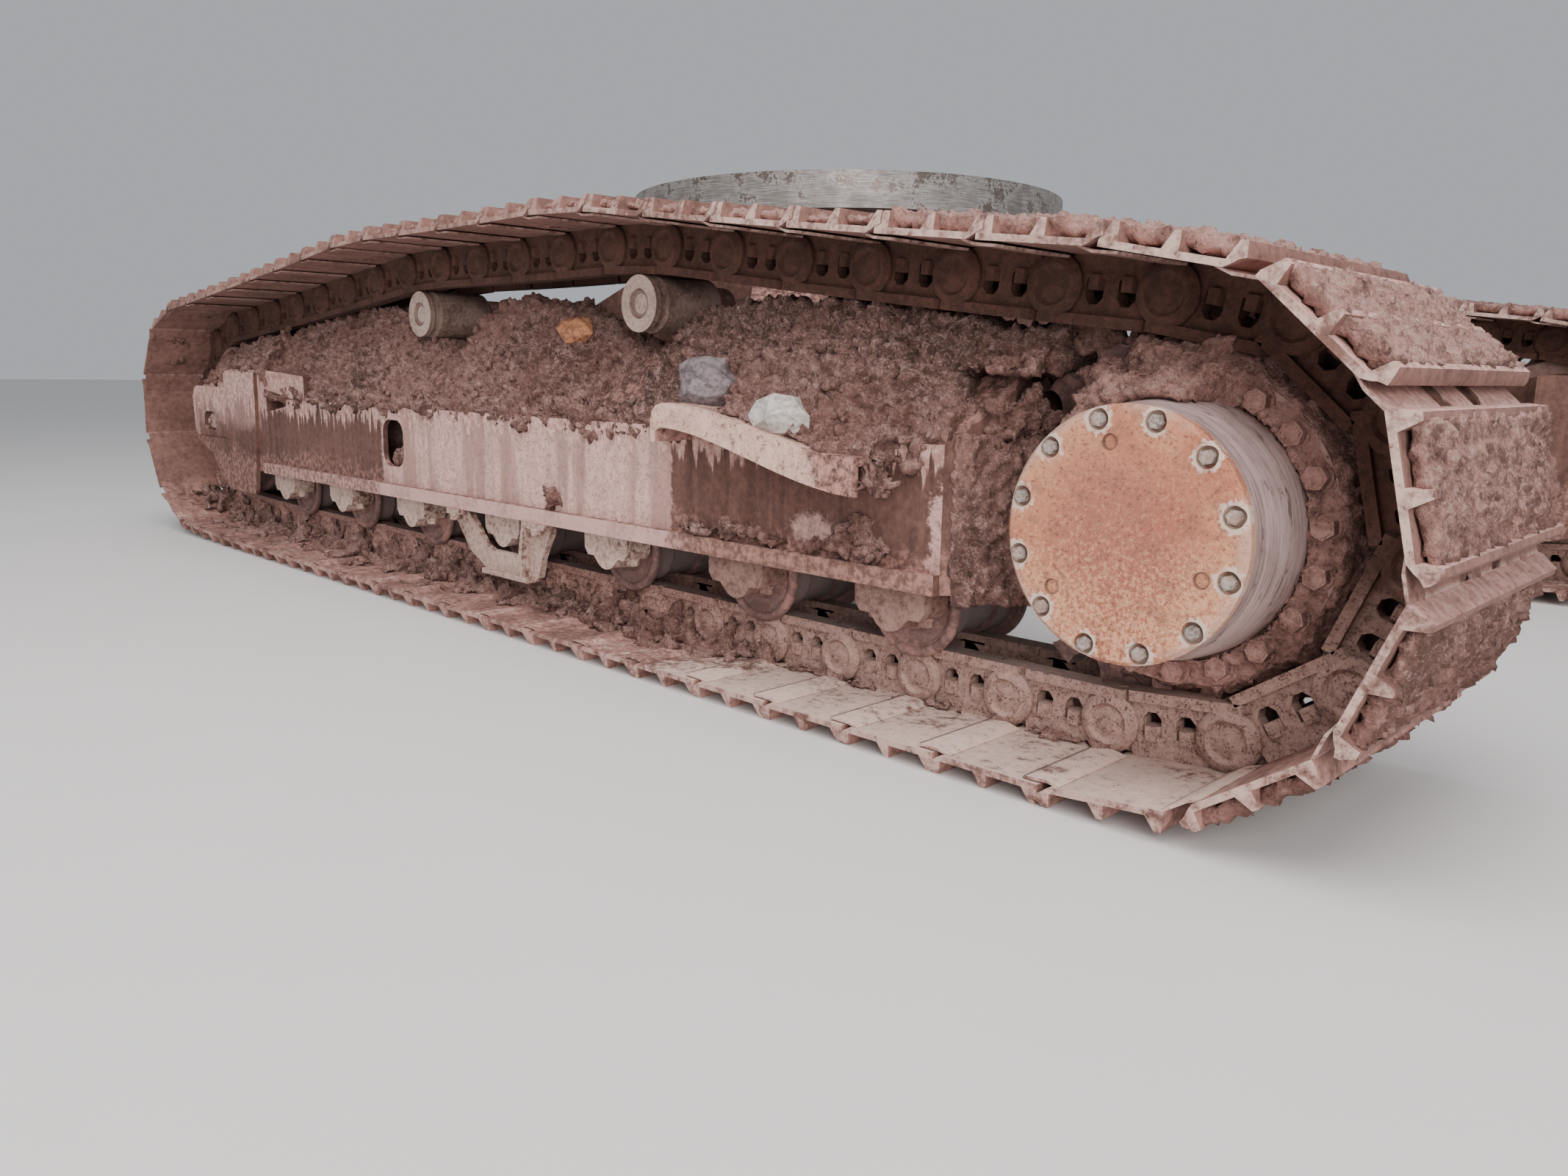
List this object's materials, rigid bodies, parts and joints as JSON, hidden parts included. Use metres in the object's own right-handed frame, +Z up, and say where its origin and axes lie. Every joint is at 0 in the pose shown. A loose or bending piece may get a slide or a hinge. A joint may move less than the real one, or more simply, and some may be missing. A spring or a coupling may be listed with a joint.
{
  "type": "crawler excavator undercarriage",
  "caption": "Crawler undercarriage of an excavator: two steel track units on an X-shaped centre frame, with a slewing ring that turns without limit.",
  "frame": {"origin": "on the ground, straight below the slewing axis", "axes": "+X forward to the idlers, +Y to the left, +Z up"},
  "size_m": [4.4536, 2.98, 1.145],
  "materials": {
    "frame_steel": "worn dark paint and rust under dried reddish mud",
    "cast_parts": "rough casting, rusty and dusty",
    "rusty_cover": "orange rust with grey worn patches",
    "wheel_steel": "worn bare on the treads, rusty elsewhere",
    "chain_steel": "rusty, with dusty mud in the corners",
    "shoe_steel": "dusty and pale, with caked mud",
    "ring_steel": "machined, greasy and dusty"
  },
  "bodies": {
    "undercarriage": {"center_drum": "frame_steel", "legs_front": "frame_steel", "legs_rear": "frame_steel", "belly_cover": "frame_steel", "swivel_joint": "cast_parts", "slew_ring_inner": "ring_steel", "side_frame_left": "frame_steel", "side_frame_right": "frame_steel", "step_left": "frame_steel", "step_right": "frame_steel", "motor_guard_left": "frame_steel", "motor_guard_right": "frame_steel", "travel_motor_left": "cast_parts", "travel_motor_right": "cast_parts", "final_drive_left": "cast_parts", "final_drive_right": "cast_parts", "drive_cover_left": "rusty_cover", "drive_cover_right": "rusty_cover", "sprocket_left": "wheel_steel", "sprocket_right": "wheel_steel", "idler_left": "wheel_steel", "idler_right": "wheel_steel", "idler_yoke_left": "frame_steel", "idler_yoke_right": "frame_steel", "recoil_unit_left": "cast_parts", "recoil_unit_right": "cast_parts", "track_rollers_left": "wheel_steel", "track_rollers_right": "wheel_steel", "roller_collars_left": "cast_parts", "roller_collars_right": "cast_parts", "track_guards_left": "frame_steel", "track_guards_right": "frame_steel", "carrier_rollers_left": "wheel_steel", "carrier_rollers_right": "wheel_steel", "carrier_brackets_left": "cast_parts", "carrier_brackets_right": "cast_parts", "track_chain_left": "chain_steel", "track_chain_right": "chain_steel", "track_shoes_left": "shoe_steel", "track_shoes_right": "shoe_steel"},
    "turntable": {"slew_ring_outer": "ring_steel"}
  },
  "joints": [
    {"name": "slew", "type": "hinge", "parent": "undercarriage", "child": "turntable", "pos_m": [0, 0, 1.09], "axis": [0, 0, 1], "continuous": true}
  ]
}
